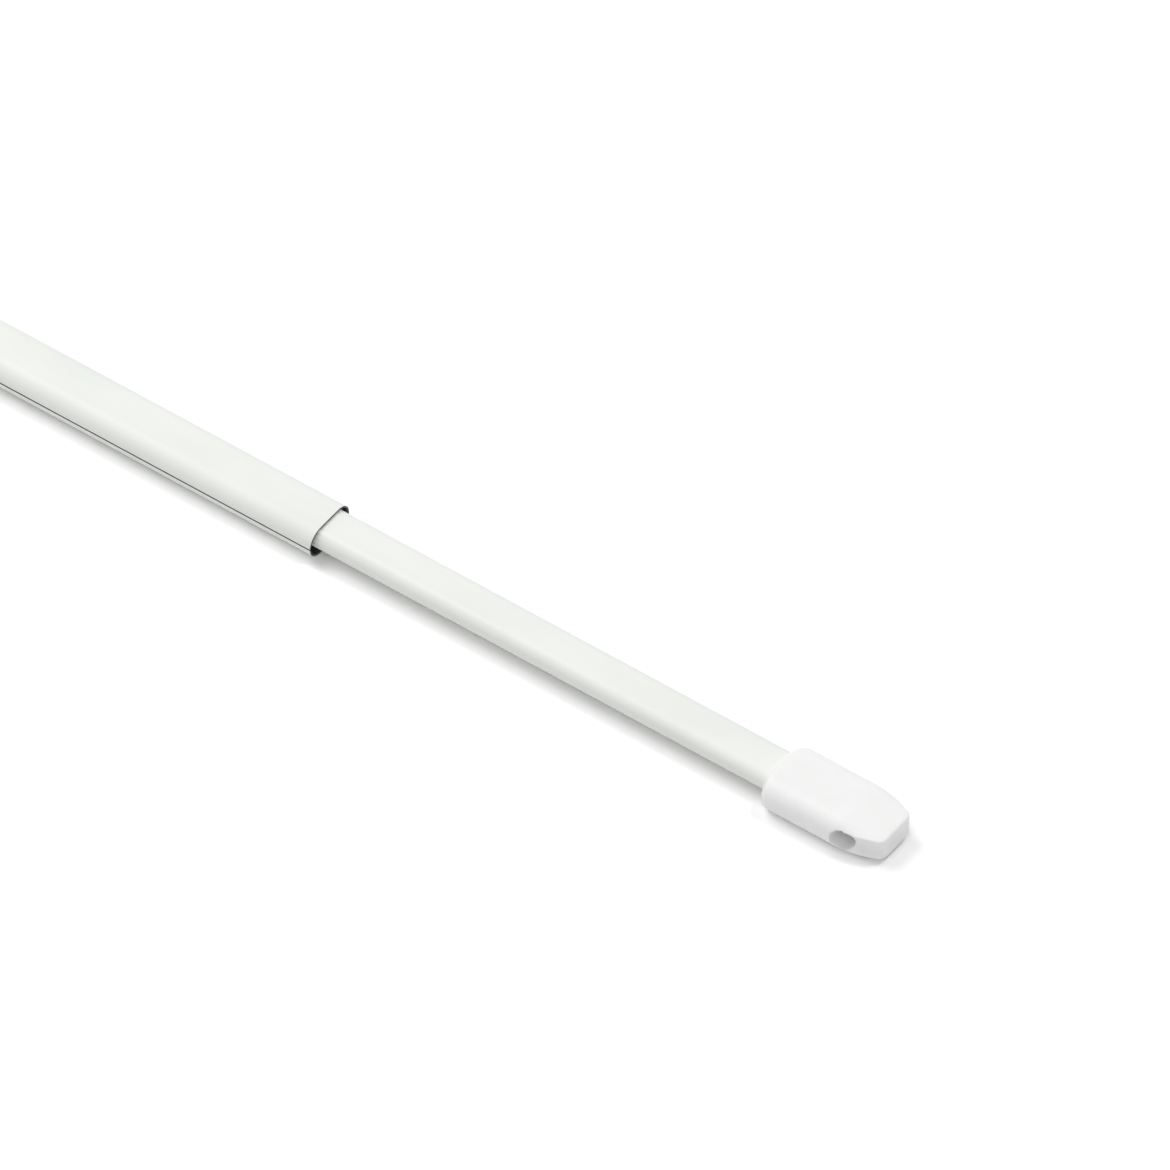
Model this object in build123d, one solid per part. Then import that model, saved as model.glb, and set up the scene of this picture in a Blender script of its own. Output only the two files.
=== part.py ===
from build123d import *
from math import cos, pi, sin
import os

os.makedirs("parts", exist_ok=True)

# Extendable curtain rod, lying flat on the underside of its two end caps.
# +X runs along the rod towards the cap of the thin tube, +Y across its flat side, +Z up.
# The origin is under the middle of the rod, in the plane that it rests on. Millimetres.

# Wide tube: steel strip rolled to a flat oval, with an open seam along one narrow edge
outer_width = 11.0
outer_height = 6.1
outer_length = 252.0
sheet = 0.35
seam_gap = 0.3

# Thin tube: same strip and form, hung just under the ceiling of the wide one
side_play = 0.95
ceiling_gap = 0.15
floor_gap = 1.15
end_room = 2.0
shown_length = 92.9

# End caps: moulded, a little larger than the wide tube all round
cap_side_lip = 1.2
cap_flat_lip = 0.25
cap_edge_flat = 0.4
socket_cap_corner = 1.8
plug_cap_corner = 1.1
rim_drop = 0.2
rim_steps = 5
nose_length = 7.7
nose_width = 8.0
nose_edge_round = 0.6
nose_lip = 1.0
nose_steps = 1
shoulder_ease = 0.7
shoulder_steps = 4
end_corner = 1.0
end_corner_steps = 3
end_bevel = 0.3

# Hole that hangs the cap on a hook, right through from one narrow edge to the other
hook_hole_radius = 2.1
hook_hole_to_end = 7.1

# Shallow groove in both narrow edges, from the hole to where it runs out at the rounded end
groove_height = 2.6
groove_depth = 0.5

# Joints between caps and tubes
socket_depth = 12.0
socket_web = 2.6
plug_length = 12.0
plug_wall = 1.1
plug_lead = 0.5
fit_clearance = 0.1

# Worked out from the values above
inner_width = outer_width - 2 * sheet - 2 * side_play
inner_height = outer_height - 2 * sheet - ceiling_gap - floor_gap
inner_length = outer_length - plug_length - end_room + socket_depth

cap_width = outer_width + 2 * cap_side_lip
cap_height = outer_height + 2 * cap_flat_lip
cap_edge_round = (cap_height - cap_edge_flat) / 2
nose_height = groove_height + 2 * nose_lip
cap_length = socket_depth + socket_web + hook_hole_radius + hook_hole_to_end

rod_length = outer_length + shown_length + 2 * cap_length
outer_axis_z = cap_height / 2
inner_axis_z = outer_axis_z + (floor_gap - ceiling_gap) / 2
outer_start_x = cap_length - rod_length / 2
outer_mouth_x = outer_start_x + outer_length
inner_cap_x = outer_mouth_x + shown_length


def flat_oval(width, height, length):
    """A straight solid of flat oval section that runs from x = 0 along +X."""
    section = Plane.YZ * SlotOverall(width, height)
    return extrude(section, amount=length)


def rolled_tube(width, height, length, seam_side):
    """One strip rolled to a flat oval, its two edges left a hair apart at the seam."""
    tube = flat_oval(width, height, length)
    tube -= flat_oval(width - 2 * sheet, height - 2 * sheet, length)
    seam_reach = height / 2
    seam = Box(length, seam_reach, seam_gap, align=(Align.MIN, Align.CENTER, Align.CENTER))
    return tube - Pos(0, seam_side * width / 2, 0) * seam


def cap_section(x, width, height, edge_round):
    """Outline of the cap across the rod at the distance x from its mouth."""
    return Plane.YZ.offset(x) * RectangleRounded(width, height, edge_round)


def mouth_sections(corner):
    """The first stretch of a cap, which swells from the mouth to full size in a quarter circle."""
    sections = []
    for step in range(rim_steps + 1):
        turn = pi / 2 * step / rim_steps
        x = corner * (1 - cos(turn))
        inset = corner * (1 - sin(turn))
        drop = rim_drop * (1 - sin(turn))
        sections.append(cap_section(x, cap_width - 2 * inset, cap_height - 2 * drop, cap_edge_round - drop))
    return sections


def nose_section(past_shoulder, eased, side_inset=0.0, flat_inset=0.0):
    """Outline of the nose: its size narrows in step with eased, which is past_shoulder with a soft start."""
    share = eased / nose_length
    width = cap_width + (nose_width - cap_width) * share - 2 * side_inset
    height = cap_height + (nose_height - cap_height) * share - 2 * flat_inset
    edge_round = nose_edge_round + (cap_edge_round - nose_edge_round) * (1 - share) ** 2 - flat_inset
    return cap_section(cap_length - nose_length + past_shoulder, width, height, edge_round)


def nose_sections():
    """The last stretch of a cap: a soft shoulder, straight sides, and an end with rounded corners."""
    sections = []
    for step in range(shoulder_steps + 1):
        run = 2 * shoulder_ease * step / shoulder_steps
        sections.append(nose_section(run - shoulder_ease, run**2 / (4 * shoulder_ease)))
    straight = nose_length - shoulder_ease - end_corner
    for step in range(1, nose_steps + 1):
        run = shoulder_ease + straight * step / (nose_steps + 1)
        sections.append(nose_section(run, run))
    for step in range(end_corner_steps + 1):
        turn = pi / 2 * step / end_corner_steps
        run = nose_length - end_corner * (1 - sin(turn))
        sections.append(nose_section(run, run, end_corner * (1 - cos(turn)), end_bevel * (1 - cos(turn))))
    return sections


def cap_form(corner):
    """Outside of a cap: rounded mouth, round-edged body, and a nose that narrows in width and height."""
    body_end = cap_length - nose_length - shoulder_ease
    full = cap_section(corner, cap_width, cap_height, cap_edge_round)
    body = extrude(full, amount=body_end - corner)
    return loft(mouth_sections(corner), ruled=True) + body + loft(nose_sections(), ruled=True)


def hook_hole():
    """Round hole along Y through the whole cap."""
    return Pos(cap_length - hook_hole_to_end, 0, 0) * Rot(90, 0, 0) * Cylinder(hook_hole_radius, 2 * cap_width)


def side_grooves():
    """Cuts for the grooves, whose floors run beside the narrow edges of the nose at one depth."""
    hole_x = cap_length - hook_hole_to_end
    taper = (cap_width - nose_width) / 2 / nose_length
    floor_at_end = nose_width / 2 - groove_depth
    floor_at_hole = floor_at_end + taper * hook_hole_to_end
    outline = Polygon(
        (hole_x, floor_at_hole),
        (cap_length, floor_at_end),
        (cap_length, cap_width),
        (hole_x, cap_width),
        align=None,
    )
    groove = extrude(outline, amount=groove_height / 2, both=True)
    return groove + mirror(groove, about=Plane.XZ)


def socket_cap():
    """Cap that the thin tube is pushed into. Its socket lies above the cap's middle."""
    socket = flat_oval(inner_width + 2 * fit_clearance, inner_height + 2 * fit_clearance, socket_depth)
    cap = cap_form(socket_cap_corner) - hook_hole() - side_grooves()
    return cap - Pos(0, 0, inner_axis_z - outer_axis_z) * socket


def plug_cap():
    """Cap with the same outside and a hollow plug that is pushed into the wide tube."""
    plug_width = outer_width - 2 * sheet - 2 * fit_clearance
    plug_height = outer_height - 2 * sheet - 2 * fit_clearance
    plug = flat_oval(plug_width, plug_height, plug_length)
    plug = chamfer(plug.faces().sort_by(Axis.X)[0].edges(), plug_lead)
    plug -= flat_oval(plug_width - 2 * plug_wall, plug_height - 2 * plug_wall, plug_length)
    return cap_form(plug_cap_corner) - hook_hole() - side_grooves() + Pos(-plug_length, 0, 0) * plug


outer_tube = Pos(outer_start_x, 0, outer_axis_z) * rolled_tube(outer_width, outer_height, outer_length, -1)
inner_tube = Pos(inner_cap_x + socket_depth - inner_length, 0, inner_axis_z) * rolled_tube(
    inner_width, inner_height, inner_length, 1
)
inner_end_cap = Pos(inner_cap_x, 0, outer_axis_z) * socket_cap()
outer_end_cap = Pos(outer_start_x, 0, outer_axis_z) * Rot(0, 0, 180) * plug_cap()

parts = {
    "outer_tube": outer_tube,
    "inner_tube": inner_tube,
    "inner_end_cap": inner_end_cap,
    "outer_end_cap": outer_end_cap,
}
for name, solid in parts.items():
    export_step(solid, f"parts/{name}.step")
    print(name, round(solid.volume, 2), "mm3")
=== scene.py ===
from math import atan, cos, pi, radians, sin, tan
import bpy
from mathutils import Matrix, Vector


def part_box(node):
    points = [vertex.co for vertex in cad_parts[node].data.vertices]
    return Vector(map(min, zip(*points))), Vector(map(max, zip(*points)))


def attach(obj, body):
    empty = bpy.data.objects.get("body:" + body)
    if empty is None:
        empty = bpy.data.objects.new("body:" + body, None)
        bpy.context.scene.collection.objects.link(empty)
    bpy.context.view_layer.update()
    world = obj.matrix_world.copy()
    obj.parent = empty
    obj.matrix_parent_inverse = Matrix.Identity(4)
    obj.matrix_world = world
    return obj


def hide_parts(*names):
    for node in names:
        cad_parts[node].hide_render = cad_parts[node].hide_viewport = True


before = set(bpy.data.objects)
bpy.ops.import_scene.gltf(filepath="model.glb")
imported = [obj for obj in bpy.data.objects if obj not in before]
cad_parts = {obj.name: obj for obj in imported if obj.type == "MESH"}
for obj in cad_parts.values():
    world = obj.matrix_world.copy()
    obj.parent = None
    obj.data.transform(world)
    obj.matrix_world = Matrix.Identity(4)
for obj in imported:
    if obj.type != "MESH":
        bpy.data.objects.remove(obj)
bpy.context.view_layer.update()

mm = 0.001
hair = 0.002 * mm  # smallest step that still counts as a length
sharpAngle = radians(40)   # edges turned more than this get the small rounding
smoothAngle = radians(35)  # edges turned less than this are shaded smooth


# Helpers for picking and finishing, used by every piece

def deselectAll():
    if bpy.context.mode != "OBJECT":
        bpy.ops.object.mode_set(mode="OBJECT")
    bpy.ops.object.select_all(action="DESELECT")


def makeActive(piece):
    deselectAll()
    piece.select_set(True)
    bpy.context.view_layer.objects.active = piece


def settlePlace(piece):  # moves place, turn and size into the mesh
    makeActive(piece)
    bpy.ops.object.transform_apply(location=True, rotation=True, scale=True)


def pickParts(piece, kind, wanted):  # leaves edit mode on, with only the wanted parts picked
    makeActive(piece)
    bpy.ops.object.mode_set(mode="EDIT")
    bpy.ops.mesh.select_mode(type=kind)
    bpy.ops.mesh.select_all(action="DESELECT")
    bpy.ops.object.mode_set(mode="OBJECT")
    mesh = piece.data
    if kind == "FACE":
        for face in mesh.polygons:
            face.select = wanted(face)
    elif kind == "EDGE":
        for edge in mesh.edges:
            edge.select = wanted(mesh.vertices[edge.vertices[0]].co, mesh.vertices[edge.vertices[1]].co)
    else:
        for point in mesh.vertices:
            point.select = wanted(point.co)
    bpy.ops.object.mode_set(mode="EDIT")


def applyModifier(piece, kind, **settings):
    makeActive(piece)
    modifier = piece.modifiers.new(kind.title(), kind)
    for setting, value in settings.items():
        setattr(modifier, setting, value)
    bpy.ops.object.modifier_apply(modifier=modifier.name)


def subtract(piece, cutter):
    applyModifier(piece, "BOOLEAN", object=cutter, operation="DIFFERENCE", solver="EXACT")
    bpy.data.objects.remove(cutter)


# Finishes

def startMaterial(name):
    material = bpy.data.materials.new(name)
    material.use_nodes = True
    return material, material.node_tree.nodes, material.node_tree.links


def addNoise(nodes, links, places, stretch, scale, detail):  # stretch is per axis
    mapping = nodes.new("ShaderNodeMapping")
    mapping.inputs["Scale"].default_value = stretch
    links.new(places, mapping.inputs["Vector"])
    noise = nodes.new("ShaderNodeTexNoise")
    noise.inputs["Scale"].default_value = scale
    noise.inputs["Detail"].default_value = detail
    links.new(mapping.outputs["Vector"], noise.inputs["Vector"])
    return noise.outputs["Fac"]


def addRamp(nodes, links, source, low, high, start=0.35, stop=0.65):
    ramp = nodes.new("ShaderNodeValToRGB")
    ramp.color_ramp.elements[0].position = start
    ramp.color_ramp.elements[0].color = low
    ramp.color_ramp.elements[1].position = stop
    ramp.color_ramp.elements[1].color = high
    links.new(source, ramp.inputs["Fac"])
    return ramp.outputs["Color"]


def addRange(nodes, links, source, low, high):
    spread = nodes.new("ShaderNodeMapRange")
    spread.inputs["To Min"].default_value = low
    spread.inputs["To Max"].default_value = high
    links.new(source, spread.inputs["Value"])
    return spread.outputs["Result"]


def addBump(nodes, links, source, depth, under=None):  # depth in metres
    bump = nodes.new("ShaderNodeBump")
    bump.inputs["Strength"].default_value = 1.0
    bump.inputs["Distance"].default_value = depth
    links.new(source, bump.inputs["Height"])
    if under:
        links.new(under, bump.inputs["Normal"])
    return bump.outputs["Normal"]


enamel = {
    "light": (0.868, 0.890, 0.850, 1),
    "deep": (0.840, 0.866, 0.820, 1),
    "cloudScale": 140,        # slow drift of the tone, about 7 mm
    "peelScale": 1500,        # orange peel of the stoved coat
    "peelDepth": 0.0022 * mm,
    "rollStretch": (0.02, 1, 1),
    "rollScale": 2600,        # faint lines along the strip, from rolling
    "rollDepth": 0.0012 * mm,
    "roughness": (0.42, 0.52),
    "coat": 0.06,
    "coatRoughness": 0.30,
}


def enamelFinish():
    material, nodes, links = startMaterial("white_enamel_on_steel")
    shader = nodes["Principled BSDF"]
    places = nodes.new("ShaderNodeTexCoord").outputs["Object"]
    cloud = addNoise(nodes, links, places, (0.35, 1, 1), enamel["cloudScale"], 3)
    peel = addNoise(nodes, links, places, (1, 1, 1), enamel["peelScale"], 2)
    roll = addNoise(nodes, links, places, enamel["rollStretch"], enamel["rollScale"], 3)
    tone = addRamp(nodes, links, cloud, enamel["deep"], enamel["light"])
    links.new(tone, shader.inputs["Base Color"])
    low, high = enamel["roughness"]
    links.new(addRange(nodes, links, cloud, low, high), shader.inputs["Roughness"])
    rolled = addBump(nodes, links, roll, enamel["rollDepth"])
    links.new(addBump(nodes, links, peel, enamel["peelDepth"], rolled), shader.inputs["Normal"])
    shader.inputs["Coat Weight"].default_value = enamel["coat"]
    shader.inputs["Coat Roughness"].default_value = enamel["coatRoughness"]
    return material


plastic = {
    "light": (0.905, 0.905, 0.902, 1),
    "deep": (0.885, 0.886, 0.880, 1),
    "cloudScale": 260,
    "grainScale": 5200,       # fine spark grain of the mould
    "grainDepth": 0.0010 * mm,
    "flowStretch": (0.3, 1, 1),
    "flowScale": 700,
    "flowDepth": 0.0016 * mm,
    "roughness": (0.48, 0.56),
    "glow": 0.5,              # light that enters the plastic
    "glowReach": 1.2 * mm,
}


def plasticFinish():
    material, nodes, links = startMaterial("white_moulded_plastic")
    shader = nodes["Principled BSDF"]
    places = nodes.new("ShaderNodeTexCoord").outputs["Object"]
    cloud = addNoise(nodes, links, places, (1, 1, 1), plastic["cloudScale"], 3)
    flow = addNoise(nodes, links, places, plastic["flowStretch"], plastic["flowScale"], 2)
    grain = addNoise(nodes, links, places, (1, 1, 1), plastic["grainScale"], 2)
    tone = addRamp(nodes, links, cloud, plastic["deep"], plastic["light"])
    links.new(tone, shader.inputs["Base Color"])
    low, high = plastic["roughness"]
    links.new(addRange(nodes, links, cloud, low, high), shader.inputs["Roughness"])
    flowed = addBump(nodes, links, flow, plastic["flowDepth"])
    links.new(addBump(nodes, links, grain, plastic["grainDepth"], flowed), shader.inputs["Normal"])
    shader.inputs["Subsurface Weight"].default_value = plastic["glow"]
    shader.inputs["Subsurface Radius"].default_value = (1.0, 1.0, 1.0)
    shader.inputs["Subsurface Scale"].default_value = plastic["glowReach"]
    return material


# Backing coat of the strip, partly real and partly painted shade: its near-black tone stands in for the
# shade inside the tubes and in the seam's gap
backingAndShade = {
    "light": (0.060, 0.068, 0.070, 1),
    "deep": (0.022, 0.027, 0.028, 1),
    "stretch": (0.05, 1, 1),
    "scale": 1900,
    "depth": 0.0015 * mm,
    "roughness": (0.42, 0.62),
}


def backingAndShadeFinish():  # inside the tubes and on the cut edges of the strip: a backing coat whose near-black tone is painted shade for the shadowed inside and the seam's gap
    material, nodes, links = startMaterial("backing_coat_with_painted_shade")
    shader = nodes["Principled BSDF"]
    places = nodes.new("ShaderNodeTexCoord").outputs["Object"]
    streaks = addNoise(nodes, links, places, backingAndShade["stretch"], backingAndShade["scale"], 4)
    tone = addRamp(nodes, links, streaks, backingAndShade["deep"], backingAndShade["light"])
    links.new(tone, shader.inputs["Base Color"])
    low, high = backingAndShade["roughness"]
    links.new(addRange(nodes, links, streaks, low, high), shader.inputs["Roughness"])
    links.new(addBump(nodes, links, streaks, backingAndShade["depth"]), shader.inputs["Normal"])
    return material


print("finishes")
enamelOnSteel = enamelFinish()
backingCoatAndShade = backingAndShadeFinish()
mouldedPlastic = plasticFinish()


# Tubes: one strip each, rolled to a flat oval with an open seam

wideTube = {
    "name": "wide_tube",
    "node": "outer_tube",
    "body": "wide_half",
    "seamSide": -1,           # -1 is the near narrow edge, 1 the far one
    "seamGap": 0.3 * mm,
    "sheet": 0.35 * mm,
    "cutEdgeRound": 0.06 * mm,
    "cutEdgeSteps": 3,
    "roundSteps": 40,
}

thinTube = {
    "name": "thin_tube",
    "node": "inner_tube",
    "body": "thin_half",
    "seamSide": 1,
    "seamGap": 0.3 * mm,
    "sheet": 0.35 * mm,
    "cutEdgeRound": 0.06 * mm,
    "cutEdgeSteps": 3,
    "roundSteps": 32,
}


def rollTube(tube):
    low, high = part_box(tube["node"])
    middle = (low + high) / 2
    width = 2 * max(high.y, -low.y)  # the seam takes a hair off one side of the box
    height = high.z - low.z
    deselectAll()
    bpy.ops.mesh.primitive_cube_add(size=1, location=(middle.x, 0, middle.z))
    piece = bpy.context.object
    piece.name = tube["name"]
    piece.scale = (high.x - low.x, width, height)
    settlePlace(piece)

    # the four long edges are rounded until all but a hair is left, then the ends are opened
    pickParts(piece, "EDGE", lambda a, b: abs(a.x - b.x) > hair)
    bpy.ops.mesh.bevel(offset=height / 2 - hair, segments=tube["roundSteps"], profile=0.5)
    pickParts(piece, "FACE", lambda face: abs(face.normal.x) > 0.9)
    bpy.ops.mesh.delete(type="FACE")

    # seam: the narrow edge is cut along both of its lips and the strip between goes
    side = tube["seamSide"]
    for lip in (-1, 1):
        lipZ = middle.z + lip * tube["seamGap"] / 2
        pickParts(piece, "FACE", lambda face: face.center.y * side > 0)
        bpy.ops.mesh.bisect(plane_co=(0, 0, lipZ), plane_no=(0, 0, 1))
    halfGap = tube["seamGap"] / 2 - hair
    pickParts(
        piece, "FACE",
        lambda face: face.center.y * side > 0 and abs(face.center.z - middle.z) < halfGap,
    )
    bpy.ops.mesh.delete(type="FACE")
    bpy.ops.object.mode_set(mode="OBJECT")

    piece.data.materials.append(enamelOnSteel)
    piece.data.materials.append(backingCoatAndShade)
    # the inside and the cut edges take the backing coat, whose near-black tone is painted shade
    applyModifier(
        piece, "SOLIDIFY", thickness=tube["sheet"], offset=-1, use_even_offset=True,
        material_offset=1, material_offset_rim=1,
    )
    pickParts(piece, "FACE", lambda face: True)
    bpy.ops.mesh.remove_doubles(threshold=3 * hair)  # closes the hair left where the roundings meet
    applyModifier(
        piece, "BEVEL", width=tube["cutEdgeRound"], segments=tube["cutEdgeSteps"],
        limit_method="ANGLE", angle_limit=sharpAngle,
    )
    makeActive(piece)
    bpy.ops.object.shade_smooth_by_angle(angle=smoothAngle)
    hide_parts(tube["node"])
    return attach(piece, tube["body"])


print("tubes")
rollTube(wideTube)
rollTube(thinTube)


# End caps: rounded rectangles across the rod, joined one to the next

capShape = {
    "cornerSteps": 14,        # in each corner of each section
    "edgeRound": 3.1 * mm,
    "mouthDrop": 0.2 * mm,    # how much flatter the mouth is than the body
    "mouthSteps": 10,
    "noseLength": 7.7 * mm,
    "noseWidth": 8.0 * mm,
    "noseHeight": 4.6 * mm,
    "crownReach": 5.0 * mm,   # how far in from its edges the nose's end is rounded
    "noseSteps": 8,
    "shoulderEase": 0.7 * mm,
    "shoulderSteps": 8,
    "endCorner": 1.0 * mm,
    "endCornerSteps": 8,
    "endBevel": 0.3 * mm,
    "holeRadius": 2.1 * mm,
    "holeToEnd": 7.1 * mm,
    "holeSides": 96,
    "grooveReach": (2.4 * mm, 1.5 * mm),  # half its height, at the hole and at the end
    "grooveDepth": 0.8 * mm,  # at the hole, and less towards the end
    "groovePast": 2.0 * mm,   # how far its cutter goes on past the end
    "grooveSides": 128,
    "grid": 0.14 * mm,        # fineness of the final skin
    "softening": (3, 0.5),    # rounds of smoothing on the cut edges, and how strong each is
}

thinTubeCap = {
    "name": "thin_tube_cap",
    "node": "inner_end_cap",
    "body": "thin_half",
    "mouthCorner": 1.8 * mm,
    "socketDepth": 12.0 * mm,
    "socketWidth": 8.6 * mm,
    "socketHeight": 4.3 * mm,
    "socketLift": 0.5 * mm,
}

wideTubeCap = {
    "name": "wide_tube_cap",
    "node": "outer_end_cap",
    "body": "wide_half",
    "mouthCorner": 1.1 * mm,
    "plugLength": 12.0 * mm,
    "plugWidth": 10.1 * mm,
    "plugHeight": 5.2 * mm,
    "plugWall": 1.1 * mm,
    "plugLead": 0.5 * mm,
}


def ovalRound(height):  # corner that makes a rounded rectangle a flat oval
    return height / 2 - hair


def addSection(x, width, height, corner, lift=0.0, crown=1.0):
    # a corner reaches as far sideways as it is given, and crown times less far up
    deselectAll()
    bpy.ops.mesh.primitive_plane_add(size=1, location=(x, 0, 0), rotation=(0, pi / 2, 0))
    section = bpy.context.object
    section.scale = (height * crown, width, 1)
    settlePlace(section)
    bpy.ops.object.mode_set(mode="EDIT")
    bpy.ops.mesh.select_all(action="SELECT")
    bpy.ops.mesh.bevel(offset=corner, segments=capShape["cornerSteps"], profile=0.5, affect="VERTICES")
    bpy.ops.mesh.select_all(action="SELECT")
    bpy.ops.mesh.delete(type="ONLY_FACE")
    bpy.ops.object.mode_set(mode="OBJECT")
    section.scale.z = 1 / crown
    section.location.z = lift
    settlePlace(section)
    return section


def pickLoops(piece, names):
    makeActive(piece)
    bpy.ops.object.mode_set(mode="EDIT")
    bpy.ops.mesh.select_mode(type="VERT")
    bpy.ops.mesh.select_all(action="DESELECT")
    for name in names:
        piece.vertex_groups.active = piece.vertex_groups[name]
        bpy.ops.object.vertex_group_select()


def joinSections(name, sections):  # a closed skin through all the sections, in their order
    loops = []
    for number, values in enumerate(sections):
        section = addSection(*values)
        group = section.vertex_groups.new(name=f"loop{number}")
        group.add(range(len(section.data.vertices)), 1.0, "REPLACE")
        loops.append(section)
    makeActive(loops[0])
    for section in loops:
        section.select_set(True)
    bpy.ops.object.join()
    piece = bpy.context.object
    piece.name = name
    for number in range(len(sections) - 1):
        pickLoops(piece, [f"loop{number}", f"loop{number + 1}"])
        bpy.ops.mesh.bridge_edge_loops()
    for end in (0, len(sections) - 1):
        pickLoops(piece, [f"loop{end}"])
        bpy.ops.mesh.edge_face_add()
    bpy.ops.mesh.select_all(action="SELECT")
    bpy.ops.mesh.normals_make_consistent(inside=False)
    bpy.ops.object.mode_set(mode="OBJECT")
    piece.vertex_groups.clear()
    return piece


def capOutside(mouthCorner, width, height, length):  # from the mouth to the closed end
    shape = capShape
    sections = []
    for step in range(shape["mouthSteps"] + 1):
        turn = pi / 2 * step / shape["mouthSteps"]
        inset = mouthCorner * (1 - sin(turn))
        drop = shape["mouthDrop"] * (1 - sin(turn))
        x = mouthCorner * (1 - cos(turn))
        sections.append((x, width - 2 * inset, height - 2 * drop, shape["edgeRound"] - drop))

    # the nose keeps its width here: its sides are cut off later
    noseStart = length - shape["noseLength"]
    edgeFlat = height / 2 - shape["edgeRound"]

    def nose(run, eased, inset=0):  # run is measured from the shoulder
        share = eased / shape["noseLength"]
        noseHeight = height + (shape["noseHeight"] - height) * share - 2 * inset
        reach = shape["edgeRound"] + (shape["crownReach"] - shape["edgeRound"]) * share
        return (noseStart + run, width, noseHeight, reach, 0.0, reach / (noseHeight / 2 - edgeFlat))

    ease, corner = shape["shoulderEase"], shape["endCorner"]
    for step in range(shape["shoulderSteps"] + 1):
        run = 2 * ease * step / shape["shoulderSteps"]
        sections.append(nose(run - ease, run**2 / (4 * ease)))
    straight = shape["noseLength"] - ease - corner
    for step in range(1, shape["noseSteps"] + 1):
        run = ease + straight * step / (shape["noseSteps"] + 1)
        sections.append(nose(run, run))
    for step in range(shape["endCornerSteps"] + 1):
        turn = pi / 2 * step / shape["endCornerSteps"]
        run = shape["noseLength"] - corner * (1 - sin(turn))
        sections.append(nose(run, run, shape["endBevel"] * (1 - cos(turn))))
    return sections


def cutSides(piece, width, length):
    # the nose's narrowing sides, with a soft shoulder and rounded end corners
    shape = capShape
    ease, corner, endWidth = shape["shoulderEase"], shape["endCorner"], shape["noseWidth"]
    taper = (width - endWidth) / 2 / shape["noseLength"]
    cuts = []
    for step in range(1, shape["shoulderSteps"] + 1):
        run = 2 * ease * step / shape["shoulderSteps"]
        x = length - shape["noseLength"] - ease + run
        cuts.append((x, width / 2 - taper * run**2 / (4 * ease), taper * run / (2 * ease)))
    for step in range(1, shape["endCornerSteps"]):
        turn = pi / 2 * step / shape["endCornerSteps"]
        back = corner * (1 - sin(turn))
        y = endWidth / 2 + taper * back - corner * (1 - cos(turn))
        cuts.append((length - back, y, taper + tan(turn)))
    for side in (-1, 1):
        for x, y, slope in cuts:
            outward = Vector((slope, side, 0)).normalized()
            pickParts(piece, "FACE", lambda face: True)
            bpy.ops.mesh.bisect(
                plane_co=(x, side * y, 0), plane_no=outward, use_fill=True, clear_outer=True
            )
    bpy.ops.object.mode_set(mode="OBJECT")


def cutHole(piece, width, length):
    deselectAll()
    bpy.ops.mesh.primitive_cylinder_add(
        vertices=capShape["holeSides"], radius=capShape["holeRadius"], depth=2 * width,
        location=(length - capShape["holeToEnd"], 0, 0), rotation=(pi / 2, 0, 0),
    )
    subtract(piece, bpy.context.object)


def cutGrooves(piece, width, length):  # coves along the taper of the nose, on both narrow edges
    shape = capShape
    taper = atan((width - shape["noseWidth"]) / 2 / shape["noseLength"])
    (atHole, atEnd), past = shape["grooveReach"], shape["groovePast"]
    run = shape["holeToEnd"] / cos(taper)
    beyond = atEnd - (atHole - atEnd) * past / run
    for side in (-1, 1):
        along = Vector((cos(taper), -side * sin(taper), 0))
        noseEnd = Vector((length, side * shape["noseWidth"] / 2, 0))
        deselectAll()
        bpy.ops.mesh.primitive_cone_add(
            vertices=shape["grooveSides"], radius1=atHole, radius2=beyond, depth=run + past,
            location=noseEnd + along * (past - run) / 2,
            rotation=along.to_track_quat("Z", "Y").to_euler(),
            scale=(shape["grooveDepth"] / atHole, 1, 1),
        )
        subtract(piece, bpy.context.object)


def finishCap(piece, cap, mouthX, axisZ, facing):
    applyModifier(piece, "REMESH", mode="VOXEL", voxel_size=capShape["grid"])
    rounds, strength = capShape["softening"]
    applyModifier(piece, "SMOOTH", factor=strength, iterations=rounds)
    makeActive(piece)
    piece.rotation_euler.z = 0 if facing > 0 else pi
    piece.location = (mouthX, 0, axisZ)
    settlePlace(piece)
    bpy.ops.object.shade_smooth()
    piece.data.materials.clear()
    piece.data.materials.append(mouldedPlastic)
    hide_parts(cap["node"])
    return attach(piece, cap["body"])


def mouldSocketCap(cap):
    low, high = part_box(cap["node"])
    width, height, length = high.y - low.y, high.z - low.z, high.x - low.x
    socket = (cap["socketWidth"], cap["socketHeight"], ovalRound(cap["socketHeight"]), cap["socketLift"])
    sections = [(cap["socketDepth"], *socket), (0, *socket)]
    sections += capOutside(cap["mouthCorner"], width, height, length)
    piece = joinSections(cap["name"], sections)
    cutSides(piece, width, length)
    cutGrooves(piece, width, length)
    cutHole(piece, width, length)
    return finishCap(piece, cap, low.x, (low.z + high.z) / 2, 1)


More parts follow.
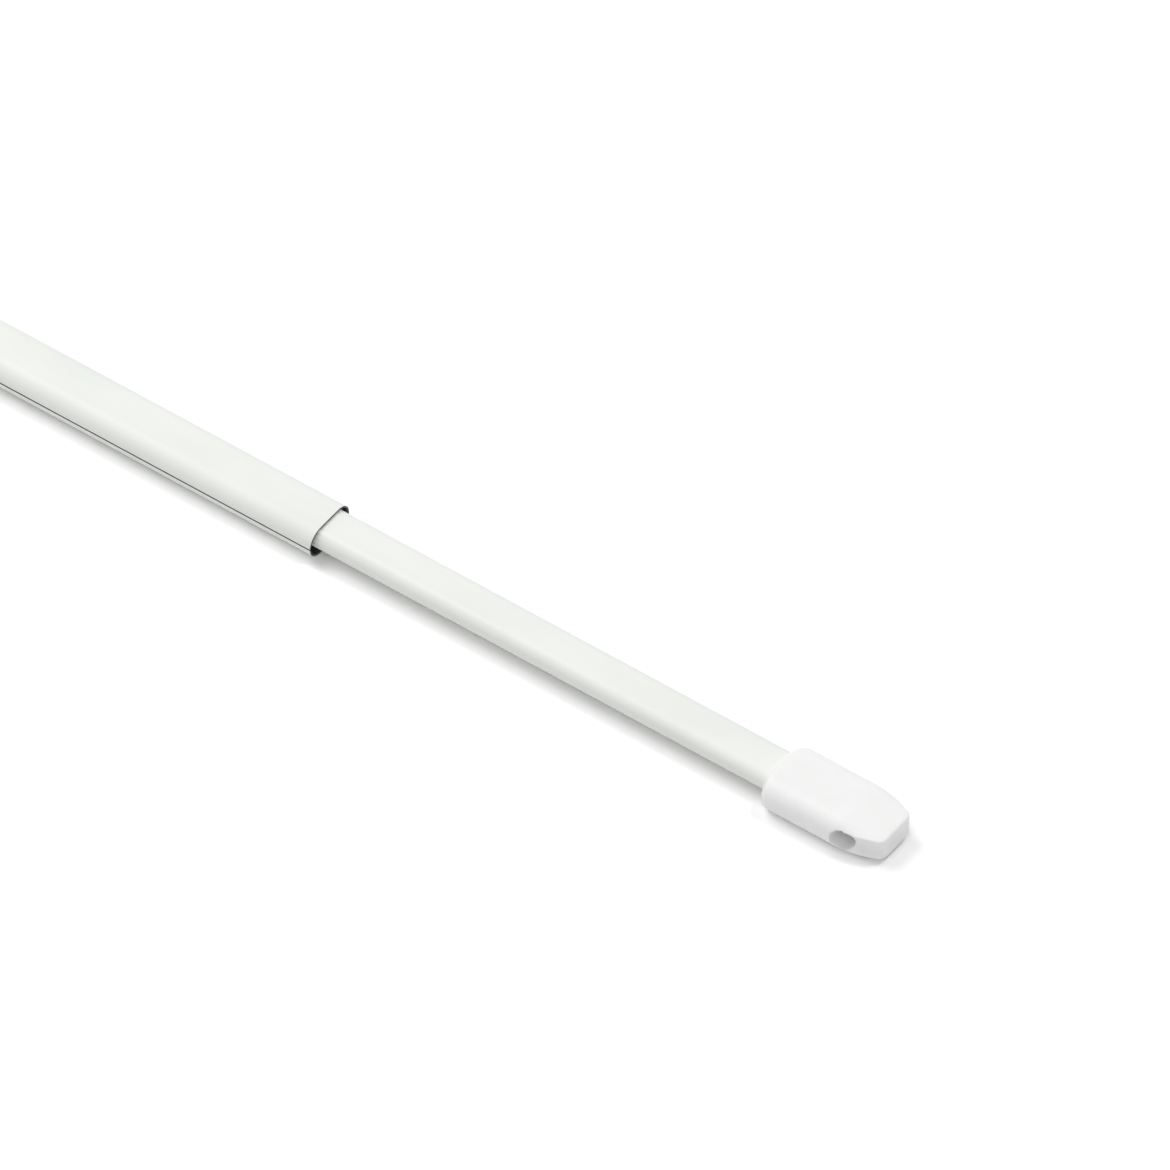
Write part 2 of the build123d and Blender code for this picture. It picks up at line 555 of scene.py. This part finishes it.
def mouldPlugCap(cap):
    low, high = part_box(cap["node"])
    width, height = high.y - low.y, high.z - low.z
    length = high.x - low.x - cap["plugLength"]
    reach, lead = -cap["plugLength"], cap["plugLead"]
    plugWidth, plugHeight = cap["plugWidth"], cap["plugHeight"]
    holeWidth, holeHeight = plugWidth - 2 * cap["plugWall"], plugHeight - 2 * cap["plugWall"]
    sections = [
        (0, holeWidth, holeHeight, ovalRound(holeHeight)),
        (reach, holeWidth, holeHeight, ovalRound(holeHeight)),
        (reach, plugWidth - 2 * lead, plugHeight - 2 * lead, ovalRound(plugHeight - 2 * lead)),
        (reach + lead, plugWidth, plugHeight, ovalRound(plugHeight)),
        (0, plugWidth, plugHeight, ovalRound(plugHeight)),
    ]
    sections += capOutside(cap["mouthCorner"], width, height, length)
    piece = joinSections(cap["name"], sections)
    cutSides(piece, width, length)
    cutGrooves(piece, width, length)
    cutHole(piece, width, length)
    return finishCap(piece, cap, high.x - cap["plugLength"], (low.z + high.z) / 2, -1)


print("end caps")
mouldSocketCap(thinTubeCap)
mouldPlugCap(wideTubeCap)


# Floor, light and camera

floorLook = {"size": 12.0, "seen": (1.12, 1.12, 1.12, 1), "bounced": (0.86, 0.86, 0.86, 1)}


def seenDirectly(nodes, links):  # 1 for what the camera sees, also in a mirror or through glass
    ray = nodes.new("ShaderNodeLightPath")
    total = ray.outputs["Is Camera Ray"]
    for kind in ("Is Glossy Ray", "Is Transmission Ray"):
        add = nodes.new("ShaderNodeMath")
        add.operation = "MAXIMUM"
        links.new(total, add.inputs[0])
        links.new(ray.outputs[kind], add.inputs[1])
        total = add.outputs["Value"]
    return total


def layFloor():
    deselectAll()
    bpy.ops.mesh.primitive_plane_add(size=floorLook["size"], location=(0, 0, 0))
    floor = bpy.context.object
    floor.name = "floor"
    material, nodes, links = startMaterial("pale_floor")
    nodes.remove(nodes["Principled BSDF"])
    shader = nodes.new("ShaderNodeBsdfDiffuse")
    links.new(shader.outputs["BSDF"], nodes["Material Output"].inputs["Surface"])
    mix = nodes.new("ShaderNodeMix")
    mix.data_type = "RGBA"
    mix.inputs["A"].default_value = floorLook["bounced"]
    mix.inputs["B"].default_value = floorLook["seen"]
    links.new(seenDirectly(nodes, links), mix.inputs["Factor"])
    links.new(mix.outputs["Result"], shader.inputs["Color"])
    floor.data.materials.append(material)


studio = {
    "ambient": 0.38,
    "lamps": [
        # name, place, size in metres, watts
        ("key_along_rod", (-1.0, 0.0, 1.73), 1.1, 16.5),
        ("small_far_right", (0.71, 0.71, 1.73), 0.4, 9.0),
        ("near_side", (0.5, -1.05, 1.63), 0.8, 5.5),
    ],
}


def lightStudio():
    world = bpy.data.worlds.new("studio")
    bpy.context.scene.world = world
    world.use_nodes = True
    nodes, links = world.node_tree.nodes, world.node_tree.links
    ambient = nodes["Background"]
    ambient.inputs["Color"].default_value = (1, 1, 1, 1)
    ambient.inputs["Strength"].default_value = studio["ambient"]
    seen = nodes.new("ShaderNodeBackground")
    seen.inputs["Color"].default_value = (1, 1, 1, 1)
    seen.inputs["Strength"].default_value = 1.0
    mix = nodes.new("ShaderNodeMixShader")
    links.new(seenDirectly(nodes, links), mix.inputs["Fac"])
    links.new(ambient.outputs["Background"], mix.inputs[1])
    links.new(seen.outputs["Background"], mix.inputs[2])
    links.new(mix.outputs["Shader"], nodes["World Output"].inputs["Surface"])
    for name, place, size, watts in studio["lamps"]:
        turn = (-Vector(place)).to_track_quat("-Z", "Y").to_euler()
        bpy.ops.object.light_add(type="AREA", location=place, rotation=turn)
        lamp = bpy.context.object
        lamp.name = name
        lamp.data.size = size
        lamp.data.energy = watts


cameraView = {
    "azimuth": radians(36.2),
    "elevation": radians(47.4),
    "lens": 1000.0,                # long, so the rod's edges stay parallel
    "sensor": 36.0,
    "picture": 1170,               # pixels each way
    "pixelsPerMetre": 6000.0,
    "mouthPixel": (329.6, 531.1),  # where the middle of the wide tube's mouth falls
}


def placeCamera():
    view = cameraView
    low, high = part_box("outer_tube")
    mouth = Vector((high.x, 0, (low.z + high.z) / 2))
    az, el = view["azimuth"], view["elevation"]
    back = Vector((sin(az) * cos(el), -cos(az) * cos(el), sin(el)))
    right = Vector((cos(az), sin(az), 0))
    up = back.cross(right)
    mouthAcross, mouthDown = view["mouthPixel"]
    across = (view["picture"] / 2 - mouthAcross) / view["pixelsPerMetre"]
    rise = (mouthDown - view["picture"] / 2) / view["pixelsPerMetre"]
    distance = view["lens"] / view["sensor"] * view["picture"] / view["pixelsPerMetre"]
    place = mouth + right * across + up * rise + back * distance
    bpy.ops.object.camera_add(location=place)
    camera = bpy.context.object
    camera.name = "camera"
    camera.rotation_euler = Matrix((right, up, back)).transposed().to_euler()
    camera.data.lens = view["lens"]
    camera.data.sensor_width = view["sensor"]
    camera.data.clip_end = 100
    bpy.context.scene.camera = camera


print("floor, light and camera")
layFloor()
lightStudio()
placeCamera()
bpy.context.scene.view_settings.view_transform = "Standard"

bpy.context.view_layer.update()
